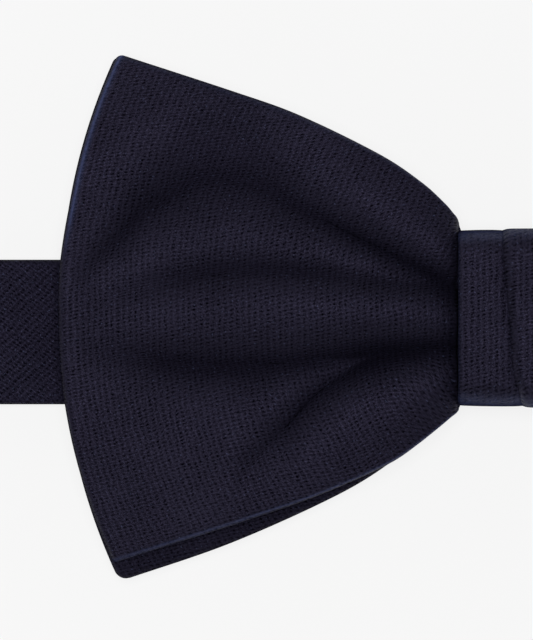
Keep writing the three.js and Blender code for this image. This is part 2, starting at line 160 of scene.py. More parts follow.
def lengths(line):
    """How far along a line each of its points is."""
    return np.concatenate([[0], np.cumsum(np.linalg.norm(np.diff(line, axis=0), axis=1))])


def value(table, x):
    """A smooth function through (x, value) pairs."""
    fine = smooth_curve(table, np.linspace(0, 1, 300))
    return np.interp(x, fine[:, 0], fine[:, 1])


def step(x, low, high):
    """0 below low, 1 above high, and smooth between."""
    t = np.clip((x - low) / (high - low), 0, 1)
    return t * t * (3 - 2 * t)


def rimmed(count, length, radius, low=True, high=True):
    """Places from 0 to 1 along a length, and the share of the thickness at each.

    At an end that is rolled the thickness falls to 0 round a quarter circle."""
    angle = np.linspace(0, math.pi / 2, 6)
    rim = radius * (1 - np.cos(angle)) / length
    grow = np.sin(angle)
    places = np.linspace(rim[-1] if low else 0, 1 - rim[-1] if high else 1, count)
    share = np.ones(count)
    if low:
        places = np.concatenate([rim[:-1], places])
        share = np.concatenate([grow[:-1], share])
    if high:
        places = np.concatenate([places, 1 - rim[-2::-1]])
        share = np.concatenate([share, grow[-2::-1]])
    return places, share


def travelled(grid, axis, zero):
    """Distance along one axis of a grid of points, counted from row or column zero."""
    leg = np.linalg.norm(np.diff(grid, axis=axis), axis=2)
    total = np.cumsum(leg, axis=axis)
    total = np.insert(total, 0, 0, axis=axis)
    return total - np.take(total, [zero], axis=axis)


def weave_uv(grid, across_zero, along_zero, turn=0.0):
    """Where each point of a grid is on the cloth, in millimetres, turned by an angle."""
    a = travelled(grid, 0, along_zero)
    b = travelled(grid, 1, across_zero)
    c, s = math.cos(turn), math.sin(turn)
    return np.stack([a * c - b * s, -a * s - b * c], -1)


def soften_corners(grid, rows, low, high):
    """Rounds the corners on the given end rows of a grid: radius low in its first column."""
    along = np.gradient(grid, axis=0)
    along /= np.linalg.norm(along, axis=2, keepdims=True)
    across = np.gradient(grid, axis=1)
    across /= np.linalg.norm(across, axis=2, keepdims=True)
    out = grid.copy()
    for row in rows:
        for column, radius in ((0, low), (-1, high)):
            p = np.clip(1 - np.abs(travelled(grid, 0, row)) / radius, 0, 1)
            q = np.clip(1 - np.abs(travelled(grid, 1, column)) / radius, 0, 1)
            back = radius * (p - p * np.sqrt(1 - q * q / 2)) * (1 if row == 0 else -1)
            aside = radius * (q - q * np.sqrt(1 - p * p / 2)) * (1 if column == 0 else -1)
            out += along * back[..., None] + across * aside[..., None]
    return out


# ---------------------------------------------------------------- meshes


def add_mesh(name, points, faces, uv, material, edge=None, sheen_and_painted_shade=None, flat_faces=0):
    """A smooth mesh from points in millimetres, with a place on the cloth for each.

    Its last flat_faces faces are the cut ends of a strap."""
    mesh = bpy.data.meshes.new(name)
    mesh.from_pydata(((points + (0, SHIFT_Y, 0)) * MM).tolist(), [], faces)
    layer = mesh.uv_layers.new(name="weave")
    corner = np.zeros(len(mesh.loops), np.int32)
    mesh.loops.foreach_get("vertex_index", corner)
    layer.data.foreach_set("uv", uv[corner].astype(np.float32).ravel())
    for kind, values in (("edge", edge), ("sheen_and_painted_shade", sheen_and_painted_shade)):
        if values is not None:
            mark = mesh.attributes.new(kind, "FLOAT", "POINT")
            mark.data.foreach_set("value", values.astype(np.float32))
    mesh.shade_smooth()
    for face in mesh.polygons[len(faces) - flat_faces:]:
        face.use_smooth = False
    mesh.materials.append(material)
    piece = bpy.data.objects.new(name, mesh)
    bpy.context.collection.objects.link(piece)
    return piece


def grid_faces(index, loop=False):
    """Quads over a grid of vertex numbers."""
    if loop:
        index = np.vstack([index, index[:1]])
    quads = np.stack([index[:-1, :-1], index[1:, :-1], index[1:, 1:], index[:-1, 1:]], -1)
    return quads.reshape(-1, 4)


def add_sheet(name, middle, upper, lower, uv, material, loop=False, edge=None, sheen_and_painted_shade=None):
    """A skin round a layer of cloth: upper and lower are its thickness either side.

    Its rolled edges are given no sheen, as painted shade."""
    rows, columns = middle.shape[:2]
    if loop:
        along = np.roll(middle, -1, 0) - np.roll(middle, 1, 0)
    else:
        along = np.gradient(middle, axis=0)
    normal = np.cross(along, np.gradient(middle, axis=1))
    normal /= np.linalg.norm(normal, axis=2, keepdims=True)
    count = rows * columns
    number = np.arange(count).reshape(rows, columns)
    under = np.where((upper <= 1e-9) & (lower <= 1e-9), number, number + count)
    points = np.vstack([
        (middle + normal * upper[..., None]).reshape(-1, 3),
        (middle - normal * lower[..., None]).reshape(-1, 3),
    ])
    faces = [grid_faces(number, loop), grid_faces(under, loop)[:, ::-1]]
    caps = 0
    for row, way in ((0, 1), (-1, -1)):
        if not loop and upper[row].max() > 1e-6:
            faces.append(grid_faces(np.stack([under[row], number[row]]))[:, ::way])
            caps += columns - 1
    faces = np.vstack(faces)
    used, faces = np.unique(faces, return_inverse=True)
    faces = [list(dict.fromkeys(face)) for face in faces.reshape(-1, 4).tolist()]
    both = np.vstack([uv.reshape(-1, 2)] * 2)[used]
    if edge is not None:
        edge = np.concatenate([edge.ravel()] * 2)[used]
    # Painted shade: the sheen falls away to nothing on the rolled edges.
    pressed = step(upper / max(upper.max(), 1e-6), 0.45, 0.9)
    pressed = pressed if sheen_and_painted_shade is None else pressed * sheen_and_painted_shade
    pressed = np.concatenate([pressed.ravel()] * 2)[used]
    return add_mesh(name, points[used], faces, both, material, edge, pressed, caps)


def tube(path, radius, sides=12, closed=False):
    """Points, faces and places of a round bar along a path."""
    path = np.array(path, float)
    if closed:
        tangent = np.roll(path, -1, 0) - np.roll(path, 1, 0)
    else:
        tangent = np.gradient(path, axis=0)
    tangent /= np.linalg.norm(tangent, axis=1, keepdims=True)
    side = np.cross(tangent, (0.012, 0.034, 1.0))
    side /= np.linalg.norm(side, axis=1, keepdims=True)
    up = np.cross(side, tangent)
    turn = np.linspace(0, 2 * math.pi, sides, endpoint=False)
    ring = side[:, None] * np.cos(turn)[:, None] + up[:, None] * np.sin(turn)[:, None]
    points = (path[:, None] + radius * ring).reshape(-1, 3)
    number = np.arange(len(points)).reshape(-1, sides)
    faces = grid_faces(np.hstack([number, number[:, :1]]), closed).tolist()
    if not closed:
        faces += [number[0].tolist(), number[-1, ::-1].tolist()]
    along = np.repeat(lengths(path), sides)
    round_it = np.tile(turn * radius, len(path))
    return points, faces, np.stack([along, round_it], -1)


def join(parts):
    """Several (points, faces, places) as one."""
    points, faces, places, first = [], [], [], 0
    for p, f, uv in parts:
        points.append(p)
        places.append(uv)
        faces += [[i + first for i in face] for face in f]
        first += len(p)
    return np.vstack(points), faces, np.vstack(places)


def half_turn(x, z, radius, side, upwards, count=13, start=0.0, end=1.0):
    """Points (x, z) half a turn round a bar, bulging towards side."""
    angle = (np.linspace(start, end, count) * 2 - 1) * math.pi / 2 * (1 if upwards else -1)
    return list(zip(x + side * radius * np.cos(angle), z + radius * np.sin(angle)))


# ---------------------------------------------------------------- materials


class Nodes:
    """A short way to write a node material."""

    def __init__(self, name):
        self.material = bpy.data.materials.new(name)
        self.material.use_nodes = True
        self.tree = self.material.node_tree
        self.shader = self.tree.nodes["Principled BSDF"]

    def add(self, kind, **inputs):
        node = self.tree.nodes.new(kind)
        for key, given in inputs.items():
            self.set(node, key, given)
        return node

    def set(self, node, key, given):
        socket = node.inputs[int(key[1:])] if key[0] == "_" and key[1:].isdigit() else node.inputs[key]
        if isinstance(given, bpy.types.NodeSocket):
            self.tree.links.new(given, socket)
        else:
            socket.default_value = given

    def math(self, operation, a, b=0.0, c=0.0, clamp=False):
        node = self.add("ShaderNodeMath", _0=a, _1=b, _2=c)
        node.operation = operation
        node.use_clamp = clamp
        return node.outputs[0]

    def noise(self, vector, scale, detail=2.0):
        node = self.add("ShaderNodeTexNoise", Vector=vector, Scale=scale, Detail=detail)
        return node.outputs["Fac"]

    def mix(self, factor, a, b):
        node = self.tree.nodes.new("ShaderNodeMix")
        node.data_type = "RGBA"
        self.set(node, "_0", factor)
        self.set(node, "_6", a)
        self.set(node, "_7", b)
        return node.outputs[2]

    def wave(self, *terms):
        """The cosine of a sum of (phase, times) pairs."""
        total = 0.0
        for phase, times in terms:
            total = self.math("MULTIPLY_ADD", phase, times, total)
        return self.math("COSINE", total)

    def vary(self, height, noise, amount):
        """The height, raised and lowered by a noise, from 0 to 1."""
        return self.math("MULTIPLY_ADD", self.math("SUBTRACT", noise, 0.5), amount, height, clamp=True)

    def place(self):
        """Where a point is on the cloth, in millimetres."""
        uv = self.add("ShaderNodeUVMap")
        uv.uv_map = "weave"
        return uv.outputs["UV"]

    def mark(self, name):
        """A value that the mesh carries at its points."""
        attribute = self.add("ShaderNodeAttribute")
        attribute.attribute_name = name
        return attribute.outputs["Fac"]

    def relief(self, height, strength, distance):
        bump = self.add("ShaderNodeBump", Strength=strength, Distance=distance, Height=height)
        self.set(self.shader, "Normal", bump.outputs["Normal"])


def rgb(*screen):
    """A colour given as 0 to 255 on the screen, as a node colour."""
    linear = [c / 255 / 12.92 if c <= 10 else ((c / 255 + 0.055) / 1.055) ** 2.4 for c in screen]
    return (*linear, 1.0)


def twill_height(n, place):
    """The relief of a twill, from 0 to 1: columns of short gaps, with each a row apart."""
    split = n.add("ShaderNodeSeparateXYZ", Vector=place)
    drift = n.noise(place, 0.5, 2)
    cell = n.math("MULTIPLY_ADD", drift, 0.9, n.math("DIVIDE", split.outputs["X"], COLUMN))
    across = n.math("FRACT", cell)
    row = n.math("DIVIDE", split.outputs["Y"], ROW)
    row = n.math("MULTIPLY_ADD", n.math("FLOOR", cell), 0.37, row)
    row = n.math("MULTIPLY_ADD", across, 0.45, row)
    row = n.math("MULTIPLY_ADD", n.noise(place, 1.6, 2), 1.1, row)
    between = n.math("MULTIPLY_ADD", n.wave((across, 2 * math.pi)), 0.5, 0.5)
    pick = n.math("MULTIPLY_ADD", n.wave((row, 2 * math.pi)), 0.5, 0.5)
    gap = n.math("MULTIPLY", pick, n.math("SUBTRACT", 1.0, n.math("MULTIPLY", between, 0.75)))
    gap = n.math("MULTIPLY", gap, n.math("MULTIPLY", n.noise(place, 1.1, 2), 1.6))
    height = n.math("MULTIPLY_ADD", gap, -0.66, 0.78)
    height = n.math("MULTIPLY_ADD", between, 0.08, height)
    height = n.vary(height, n.noise(place, 4.5, 3), 1.8)
    return n.vary(height, n.noise(place, 0.12, 3), 0.45)


def twill(name, dark, light, fleck_light, edge_highlight=None):
    """Twill with lighter flecks in its yarn, and a patchy painted highlight along the edges that the
    mesh marks. It shines only as far as a sheen mark on the mesh lets it, and that mark also carries
    painted shade.
    """
    n = Nodes(name)
    place = n.place()
    height = twill_height(n, place)
    colour = n.mix(height, dark, light)
    fleck = n.math("SUBTRACT", n.noise(place, 3.1, 1), 0.64)
    colour = n.mix(n.math("MULTIPLY", fleck, 6.0, clamp=True), colour, fleck_light)
    if edge_highlight:
        # Painted highlight: a paler blue along the rolled edges and the knot's rim, broken up by noise.
        patchy_highlight = n.math("MULTIPLY_ADD", n.noise(place, 1.7, 3), 1.6, 0.1)
        colour = n.mix(n.math("MULTIPLY", n.mark("edge"), patchy_highlight, clamp=True), colour, edge_highlight)
    n.set(n.shader, "Base Color", colour)
    # The mesh's sheen mark, which carries painted shade, sets the shine and how deep the weave's bumps
    # look.
    sheen_and_painted_shade = n.mark("sheen_and_painted_shade")
    strength = n.math("MINIMUM", n.math("MULTIPLY_ADD", sheen_and_painted_shade, 1.3, 0.06), 0.5)
    n.relief(height, strength, 0.00013)
    shine = n.math("MULTIPLY", height, n.math("MULTIPLY", sheen_and_painted_shade, 0.33))
    n.set(n.shader, "Specular IOR Level", shine)
    n.shader.inputs["Specular Tint"].default_value = (0.62, 0.56, 1.0, 1)
    n.shader.inputs["Roughness"].default_value = 0.48
    return n.material


def canvas(name, dark, light):
    """Plain-woven interlining."""
    n = Nodes(name)
    place = n.place()
    split = n.add("ShaderNodeSeparateXYZ", Vector=place)
    over = n.math("SINE", n.math("MULTIPLY", split.outputs["X"], math.pi / 0.5))
    under = n.math("SINE", n.math("MULTIPLY", split.outputs["Y"], math.pi / 0.5))
    height = n.math("MULTIPLY_ADD", n.math("MULTIPLY", over, under), 0.4, 0.5)
    height = n.math("MULTIPLY_ADD", n.noise(place, 5.0), 0.3, height)
    n.set(n.shader, "Base Color", n.mix(height, dark, light))
    n.relief(height, 0.5, 0.0001)
    n.shader.inputs["Roughness"].default_value = 0.9
    return n.material


def sewing_thread(name, dark, light):
    """Two-ply thread, with its plies winding round it."""
    n = Nodes(name)
    place = n.place()
    split = n.add("ShaderNodeSeparateXYZ", Vector=place)
    twist = n.wave((split.outputs["X"], 2 * math.pi / 0.55), (split.outputs["Y"], 2 * math.pi / 0.5))
    height = n.math("MULTIPLY_ADD", twist, 0.35, 0.5)
    height = n.math("MULTIPLY_ADD", n.noise(place, 9.0), 0.3, height)
    n.set(n.shader, "Base Color", n.mix(height, dark, light))
    n.relief(height, 0.6, 0.00008)
    n.shader.inputs["Roughness"].default_value = 0.55
    n.shader.inputs["Specular IOR Level"].default_value = 0.25
    return n.material


def nickel(name):
    """Bright plated wire, with fine drawing lines and a little tarnish."""
    n = Nodes(name)
    place = n.place()
    stretch = n.add("ShaderNodeMapping", Vector=place, Scale=(0.6, 9.0, 1.0))
    lines = n.noise(stretch.outputs["Vector"], 3.0, 4)
    stain = n.noise(place, 0.5, 3)
    colour = n.mix(stain, (0.56, 0.55, 0.53, 1), (0.78, 0.77, 0.75, 1))
    n.set(n.shader, "Base Color", colour)
    n.shader.inputs["Metallic"].default_value = 1.0
    n.set(n.shader, "Roughness", n.math("MULTIPLY_ADD", lines, 0.22, 0.12))
    n.relief(lines, 0.12, 0.00003)
    return n.material


# The bow twill's last colour, a pale blue, is its painted edge highlight.
bow_cloth = twill("navy_twill", rgb(4, 3, 8), rgb(29, 27, 41), rgb(56, 60, 84), rgb(72, 82, 124))
band_cloth = twill("navy_twill_bias", rgb(4, 3, 8), rgb(27, 25, 40), rgb(64, 70, 96))
interlining = canvas("interlining", rgb(150, 143, 122), rgb(214, 208, 190))
thread = sewing_thread("navy_thread", rgb(12, 12, 26), rgb(48, 50, 86))
plate = nickel("nickel_plate")


def dress(piece, node, body):
    """Hides the CAD solid that a piece stands for, and puts the piece on the body it rides."""
    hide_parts(node)
    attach(piece, body)


# ---------------------------------------------------------------- the bow


def valley_middle(valley, x, side):
    """Where a valley's bottom is: the two wings differ a little."""
    return value(valley["path"], x) + 0.35 * np.maximum(side, 0) * np.sin(x / 7)


def pleat_depth(x, y, side):
    """How far the pleats draw the face of a wing back at a place."""
    total = np.zeros_like(x)
    for valley in VALLEYS:
        middle = valley_middle(valley, x, side)
        width = value(valley["width"], x)
        depth = np.clip(value(valley["depth"], x), 0, None)
        away = np.hypot(y - middle, VALLEY_ROUNDING) - VALLEY_ROUNDING
        total += depth * np.exp(-away / width)
    return total


def valley_shade(x, y, side):
    """How far into the bottom of a valley a place is, from 0 to 1."""
    total = np.zeros_like(x)
    for valley in VALLEYS:
        middle = valley_middle(valley, x, side)
        depth = np.clip(value(valley["depth"], x), 0, DEEPEST)
        bottom = np.exp(-(((y - middle) / SHADED_HALF) ** 2))
        total = np.maximum(total, depth / DEEPEST * bottom)
    return total


def wing_rows(side, top_edge, bottom_edge, places, across, pull=0.0):
    """Where the cloth of one wing lies, seen from the front: rows run across the wing.

    The upper part of the outer end is drawn in by pull."""
    top = smooth_curve(top_edge, places)[:, None]
    bottom = smooth_curve(bottom_edge, places)[:, None]
    v = across[None] * 2 - 1
    w = across[None]
    x = bottom[..., 0] + (top[..., 0] - bottom[..., 0]) * w
    y = -bottom[..., 1] + (top[..., 1] + bottom[..., 1]) * w
    bulge = END_BULGE * step(x, 11, 34)
    x = x + bulge * (1 - np.abs(v) ** END_POWER)
    x = x - pull * step(y, 3, 16) * np.asarray(places)[:, None] ** 3
    return side * x, y, v * np.ones_like(x)


def both_wings(top_edge, bottom_edge, height, along, across):
    """A grid of middle points from the left end of the bow to the right."""
    halves = []
    for side in (-1, 1):
        x, y, v = wing_rows(side, top_edge, bottom_edge, along, across, FRONT_PULL)
        grid = np.stack([x, y, height(np.abs(x), y, v, side)], -1)
        halves.append(grid)
    return np.concatenate([halves[0][::-1], halves[1][1:]])


def front_height(x, y, v, side):
    low = value(FRONT_HEIGHT, x) - value(FRONT_CROWN, x) * np.abs(v) ** 2.2
    return low - pleat_depth(x, y, side)


def back_height(x, y, v, side):
    return value(BACK_HEIGHT, x) - value(BACK_CROWN, x) * v**2


def edge_highlight_mask(grid, end, low, high):
    """Where the painted highlight goes along a panel's pressed edges, which catch the light: the ends
    only in their upper part.
    """
    out = np.minimum(np.abs(travelled(grid, 0, 0)), np.abs(travelled(grid, 0, -1)))
    below = np.abs(travelled(grid, 1, 0))
    above = np.abs(travelled(grid, 1, -1))
    total = end * np.exp(-(((out - 0.5) / 0.2) ** 2)) * step(grid[..., 1], 6, 15)
    total = total + low * np.exp(-(((below - 0.35) / 0.15) ** 2))
    return np.clip(total + high * np.exp(-(((above - 0.4) / 0.25) ** 2)), 0, 1)


def front_sheen_and_painted_shade(grid):
    """The front's sheen, lowered as painted shade in the broad hollow and in the bottoms of the
    valleys.
    """
    x, y = np.abs(grid[..., 0]), grid[..., 1]
    away = (y - value(HOLLOW_LINE, x)) / value(HOLLOW_HALF, x)
    hollow = np.exp(-np.abs(away) ** 3) * step(x, 29, 37) * (1 - step(x, 50, 56))
    return (1 - 0.4 * hollow) * (1 - 0.75 * valley_shade(x, y, np.sign(grid[..., 0])))


def make_front():
    half = PANEL_THICK / 2
    along, share = rimmed(150, WING_LONG, half, low=False)
    across, rim = rimmed(150, WING_TALL, half)
    middle = both_wings(TOP_EDGE, FRONT_BOTTOM, front_height, along, across)
    middle = soften_corners(middle, (0, -1), 0.3, 0.8)
    share = np.concatenate([share[::-1], share[1:]])
    thick = half * share[:, None] * rim[None]
    uv = weave_uv(middle, len(across) // 2, 0)
    # Painted highlight along the front's outer ends and bottom edges, and faintly along its top edges.
    edge = edge_highlight_mask(middle, 0.8, 0.4, 0.1)
    # Painted shade: the front's sheen is lowered in its broad hollow and in the valley bottoms.
    sheen_and_painted_shade = front_sheen_and_painted_shade(middle)
    panel = add_sheet("bow_front", middle, thick, thick, uv, bow_cloth, False, edge, sheen_and_painted_shade)
    dress(panel, "bow_front_panel", "bow")

    half = LINING_THICK / 2
    along, share = rimmed(50, WING_LONG, half, low=False)
    across, rim = rimmed(50, WING_TALL, half)
    trimmed = both_wings(TOP_EDGE, FRONT_BOTTOM, front_height, along * 0.965, 0.04 + across * 0.92)
    share = np.concatenate([share[::-1], share[1:]])
    thick = half * share[:, None] * rim[None]
    uv = weave_uv(trimmed, len(across) // 2, 0)
    lining = add_sheet("bow_front_lining", trimmed, thick, thick, uv, interlining)
    dress(lining, "bow_front_interlining", "bow")


def make_back(side, name):
    half = PANEL_THICK / 2
    along, share = rimmed(90, WING_LONG, half, low=False)
    across, rim = rimmed(90, WING_TALL, half)
    x, y, v = wing_rows(side, TOP_EDGE, BACK_BOTTOM, 0.004 + along * 0.996, across)
    y = np.where(v > 0, y - (0.9 - 0.85 * along[:, None] ** 4) * v**2, y)
    middle = np.stack([x, y, back_height(np.abs(x), y, v, side)], -1)
    middle = soften_corners(middle, (-1,), 1.4, 0.8)
    if side < 0:
        middle, share = middle[::-1], share[::-1]
    thick = half * share[:, None] * rim[None]
    uv = weave_uv(middle, len(across) // 2, 0)
    # Faint painted highlight along the back's top edge.
    edge = edge_highlight_mask(middle, 0.0, 0.0, 0.1)
    # Painted shade: the back panels' sheen is halved, to darken them as if in the front's shade.
    sheen_and_painted_shade = np.full(thick.shape, 0.5)
    panel = add_sheet(f"bow_back_{name}", middle, thick, thick, uv, bow_cloth, False, edge, sheen_and_painted_shade)
    dress(panel, f"bow_back_panel_{name}", "bow")

    inner = middle[4:-4:3, 8:-8:3]
    thin = np.full(inner.shape[:2], LINING_THICK / 2)
    thin[[0, -1]] = 0
    thin[:, [0, -1]] = 0
    uv = weave_uv(inner, 10, 0)
    lining = add_sheet(f"bow_back_lining_{name}", inner, thin, thin, uv, interlining)
    dress(lining, f"bow_back_interlining_{name}", "bow")


# ---------------------------------------------------------------- the knot

# The folded edges on the knot's front, as (height up the knot, distance from its middle).
CREASE_LEFT = [(-12, -2.7), (-10.5, -3.0), (-6.4, -4.3), (-3.2, -4.5), (1.7, -4.9), (6.7, -5.4),
               (12, -5.6)]
CREASE_RIGHT = [(-12, 6.1), (-6, 5.6), (0, 5.0), (6, 4.6), (12, 4.4)]


def rounded_loop(half_y, bottom, top, back_r, front_r, count):
    """Evenly spaced points (y, z) round a rounded oblong, from the middle of its back."""
    corners = [(half_y, bottom, back_r, -90), (half_y, top, front_r, 0),
               (-half_y, top, front_r, 90), (-half_y, bottom, back_r, 180)]
    line = [(0, bottom)]
    for y, z, r, start in corners:
        cy = y - math.copysign(r, y)
        cz = z + r if z == bottom else z - r
        for turn in np.radians(start + np.linspace(0, 90, 25)):
            line.append((cy + r * math.cos(turn), cz + r * math.sin(turn)))
    line.append((0, bottom))
    line = np.array(line)
    gone = lengths(line)
    at = np.linspace(0, gone[-1], count, endpoint=False)
    return np.stack([np.interp(at, gone, c) for c in line.T], -1)


def fold_over(d, drop, rise, width):
    """A folded edge at d = 0: low and drawn down before it, rounded up after it."""
    t = np.clip(d / width, 0, 1)
    before = -drop * np.exp(d / 0.9)
    after = -drop + (drop + rise) * np.sqrt(np.clip(1 - (1 - t) ** 2, 0, 1))
    return np.where(d < 0, before, after)


def outward(loop):
    """The unit directions (y, z) that point out of a closed loop."""
    along = np.roll(loop, -1, 0) - np.roll(loop, 1, 0)
    out = np.stack([along[:, 1], -along[:, 0]], -1)
    return out / np.linalg.norm(out, axis=1, keepdims=True)


def knot_swell(x, y, facing):
    """How far the knot's cloth stands out of its loop, most where it faces the front."""
    left = x - value(CREASE_LEFT, y)
    right = value(CREASE_RIGHT, y) - x
    raised = np.minimum(fold_over(left, 0.5, 0.45, 1.0), fold_over(right, 0.4, 0.45, 1.0))
    crown = 0.35 * (1 - (x / KNOT_HALF_X) ** 2) - 0.3 * np.abs(x / KNOT_HALF_X) ** 6
    front = 0.25 + 0.75 * step(facing, 0.1, 0.8)
    return (raised + crown) * np.where(facing < -0.3, 0.0, front)


def make_knot():
    half = KNOT_THICK / 2
    top = KNOT_TOP - half - KNOT_SWELL
    loop = rounded_loop(KNOT_HALF_Y - half, KNOT_BOTTOM + half, top, 2.6, 2.7, 220)
    out = outward(loop)
    facing = out[:, 1:]
    along, rim = rimmed(150, 2 * KNOT_HALF_X, half)
    whole = np.ones((len(loop), len(along)))
    x = (along * 2 - 1)[None] * KNOT_HALF_X * whole
    swell = knot_swell(x, loop[:, :1], facing)
    middle = np.stack([x, loop[:, :1] + out[:, :1] * swell, loop[:, 1:] + facing * swell], -1)
    thick = half * rim[None] * whole
    # The ribs of the cloth run round the knot, so its columns are counted along X.
    uv = np.stack([x, lengths(loop)[:, None] * whole], -1)
    # Painted highlight: paler along the knot's rolled sides and where its front turns over towards the
    # top and bottom.
    rolled = 0.2 * np.clip(1 - rim, 0, 1)[None] * whole
    bend = 0.22 * step(facing, 0.1, 0.4) * (1 - step(facing, 0.6, 0.97))
    edge = np.maximum(rolled, bend)
    # Painted shade: the knot shines only where it faces up, so its turning rims stay dull.
    sheen_and_painted_shade = step(facing, 0.45, 0.85) * whole
    wrap = add_sheet("knot", middle, thick, thick, uv, bow_cloth, True, edge, sheen_and_painted_shade)
    dress(wrap, "knot_wrap", "bow")


def make_knot_lining():
    loop = rounded_loop(9.3, 3.35, 13.0, 1.7, 2.4, 120)
    along, rim = rimmed(30, 20.9, 0.2)
    whole = np.ones((len(loop), len(along)))
    x = (along * 2 - 1)[None] * 10.4 * whole
    middle = np.stack([x, loop[:, :1] * whole, loop[:, 1:] * whole], -1)
    thick = 0.2 * rim[None] * whole
    uv = np.stack([x, lengths(loop)[:, None] * whole], -1)
    lining = add_sheet("knot_lining", middle, thick, thick, uv, interlining, loop=True)
    dress(lining, "knot_interlining", "bow")


def make_waist_thread():
    ring = rounded_loop(8.4, 5.35, 12.8, 1.1, 1.1, 90)
    turns = []
    for i in range(14):
        slant = 0.2 * np.sin(lengths(ring) / 9 + i)
        path = np.stack([-2.8 + 0.43 * i + slant, ring[:, 0], ring[:, 1]], -1)
        turns.append(tube(path, 0.2, 8, closed=True))
    binding = add_mesh("waist_thread", *join(turns), thread)
    dress(binding, "waist_binding", "bow")


def make_knot_stitches():
    stitches = []
    t = np.linspace(-1, 1, 9)
    for i in range(12):
        x = -9.6 + 1.7 * i
        path = np.stack([x + 0.35 * t, 1.5 + 0.7 * t, KNOT_BOTTOM - 0.16 + 0.22 * t**2], -1)
        stitches.append(tube(path, 0.14, 8))
    closing = add_mesh("knot_stitches", *join(stitches), thread)
    dress(closing, "knot_closing_stitch", "bow")


# ---------------------------------------------------------------- the neckband


BIAS = math.radians(46)  # the band is cut across the weave


def add_strap(name, path, low=False, high=False, half_width=None, shift=None, step_mm=0.7,
              thick=BAND_THICK, material=None, turn=BIAS, smooth=True):
    """A flat strap along a path of (x, z) points, with rolled long edges.

    An end is rolled where low or high says so, and is open where another strap meets it."""
    half = thick / 2
    rough = np.array(path, float)
    size = lengths(rough)[-1]
    along, share = rimmed(max(6, int(size / step_mm)), size, half, low, high)
    if smooth:
        line = smooth_curve(path, along)
    else:
        gone = lengths(rough)
        line = np.stack([np.interp(along * size, gone, c) for c in rough.T], -1)
    x, z = line[:, 0], line[:, 1]
    wide = np.full(len(x), BAND_HALF) if half_width is None else half_width(x)
    centre = np.full(len(x), BAND_SHIFT) if shift is None else shift(x)
    across, rim = rimmed(26, 2 * BAND_HALF, half)
    v = across * 2 - 1
    middle = np.stack([
        x[:, None] * np.ones_like(v),
        centre[:, None] + wide[:, None] * v,
        z[:, None] * np.ones_like(v),
    ], -1)
    thickness = half * share[:, None] * rim[None]
    seam = 0.14 * np.exp(-((v * BAND_HALF / 0.3) ** 2))[None] * share[:, None]
    a = travelled(middle, 0, 0)
    b = v[None] * wide[:, None]
    c, s = math.cos(turn), math.sin(turn)
    uv = np.stack([a * c - b * s, -a * s - b * c], -1)
    upper, lower = thickness, np.clip(thickness - seam * (thick > 0.6), 0, None)
    # Painted shadow: the sheen dips where the band comes out from under the wings' outer ends.
    sheen_and_painted_shade = 0.88 - 0.5 * np.exp(-(((np.abs(middle[..., 0]) - 57) / 5) ** 2))
    return add_sheet(name, middle, upper, lower, uv, material or band_cloth, sheen_and_painted_shade=sheen_and_painted_shade)


FRONT_RUN_Z = STRAP_Z + 2 * FOLD_R
FRONT_RUN = [
    (-FOLD_END, FRONT_RUN_Z), (-110, FRONT_RUN_Z), (-60, 2.8), (-40, 3.1), (-22, 3.9), (-13, 4.35),
    (0, 4.35), (11.6, 4.4), (14.5, 5.0), (32, 5.1), (48, 5.15), (54, 5.65), (59, 6.6), (64, 7.45),
    (69, 7.65), (84, 7.65), (90, 7.3), (96, 6.3), (102, 4.9), (107.5, 3.5), (112, FRONT_RUN_Z),
    (FOLD_END, FRONT_RUN_Z),
]


def front_half_width(x):
    return BAND_HALF - 1.1 * (1 - step(np.abs(x), 12, 22))


def front_shift(x):
    return BAND_SHIFT * step(np.abs(x), 12, 40)


def cloth(piece, node=None, body=None):
    if node:
        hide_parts(node)
    if body:
        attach(piece, body)
    return piece


def strap_lining(name, path, node, half_width=None, shift=None):
    """The interlining inside a run of the neckband."""
    half_width = half_width or (lambda x: np.full(len(x), BAND_HALF - 1))
    lining = add_strap(name, path, True, True, half_width, shift, 2.0, LINING_THICK, interlining,
                       turn=0)
    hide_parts(node)
    return lining


def make_band():
    run = add_strap("band_front", FRONT_RUN, half_width=front_half_width, shift=front_shift)
    cloth(run, "neckband_front_run", "bow")
    inside = FRONT_RUN[1:-1]
    lining = strap_lining("band_front_lining", inside, "neckband_front_interlining",
                          lambda x: front_half_width(x) - 1, front_shift)
    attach(lining, "bow")
    for name, side in (("left", -1), ("right", 1)):
        path = [(side * FOLD_END, STRAP_Z)]
        path += half_turn(side * FOLD_X, STRAP_Z + FOLD_R, FOLD_R, side, True, 17)
        path += [(side * FOLD_END, FRONT_RUN_Z)]
        bend = add_strap(f"band_turn_{name}", path, step_mm=0.16, smooth=False)
        cloth(bend, f"neckband_turn_{name}")
        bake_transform(bend)


